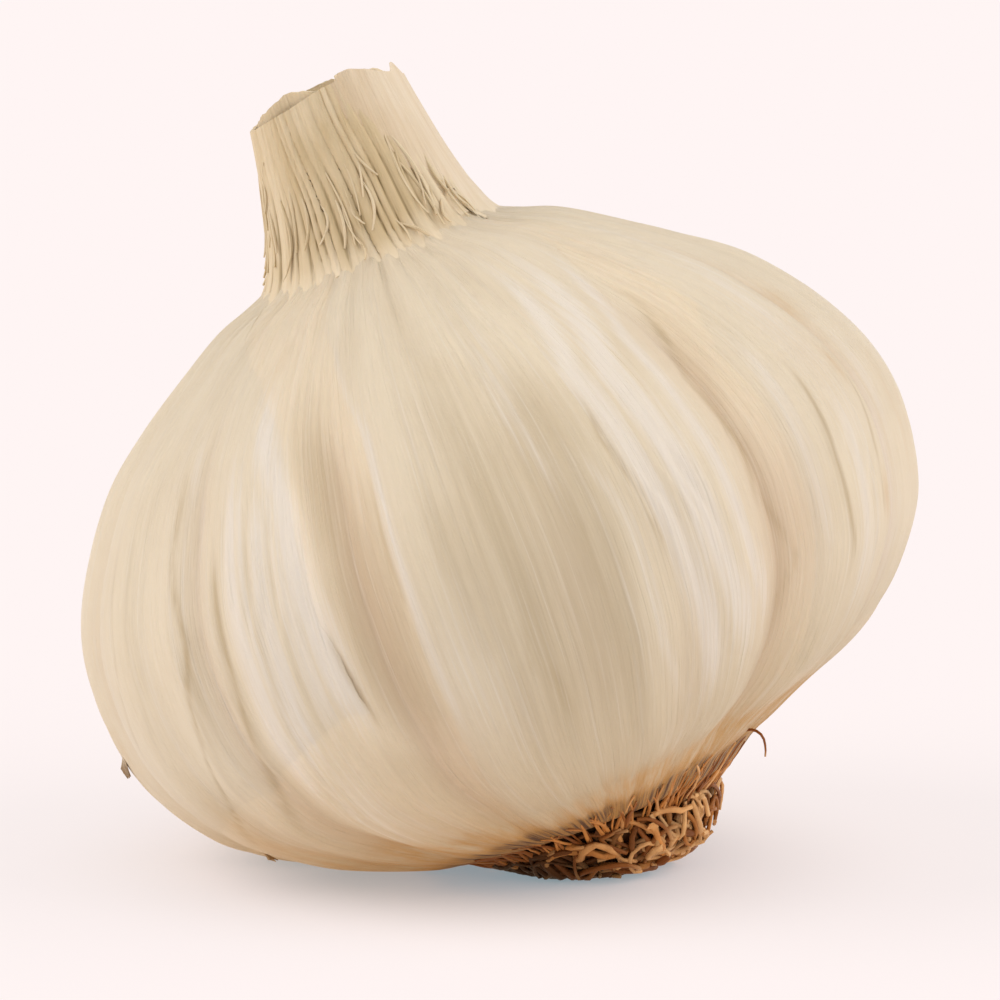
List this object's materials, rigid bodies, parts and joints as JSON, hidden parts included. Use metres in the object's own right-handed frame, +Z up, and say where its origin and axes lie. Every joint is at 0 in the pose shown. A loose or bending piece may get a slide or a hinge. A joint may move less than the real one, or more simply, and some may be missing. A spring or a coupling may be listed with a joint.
{
  "type": "garlic bulb",
  "caption": "Whole dried garlic bulb resting tilted on its cheek and roots: lobed body in papery skins, cut fibrous neck, trimmed tuft of dried roots.",
  "frame": {"origin": "middle of the bounding box at table height, under the resting bulb", "axes": "+Z up from the table; the bulb's own axis leans 21.4 degrees from +Z towards -X, so the neck points up and to -X and the roots face down and to +X; +Y is the back as the picture shows it"},
  "size_m": [0.0584, 0.06, 0.0559],
  "materials": {
    "papery_skin": "dry papery skin, cream to tan, with a faint silky sheen along its veins",
    "dried_sheath": "matt fibrous straw, ribbed along the neck",
    "dried_root": "matt dry brown fibre, lighter at the cut ends"
  },
  "bodies": {
    "root": {"bulb": "papery_skin", "neck": "dried_sheath", "roots": "dried_root"}
  },
  "joints": []
}
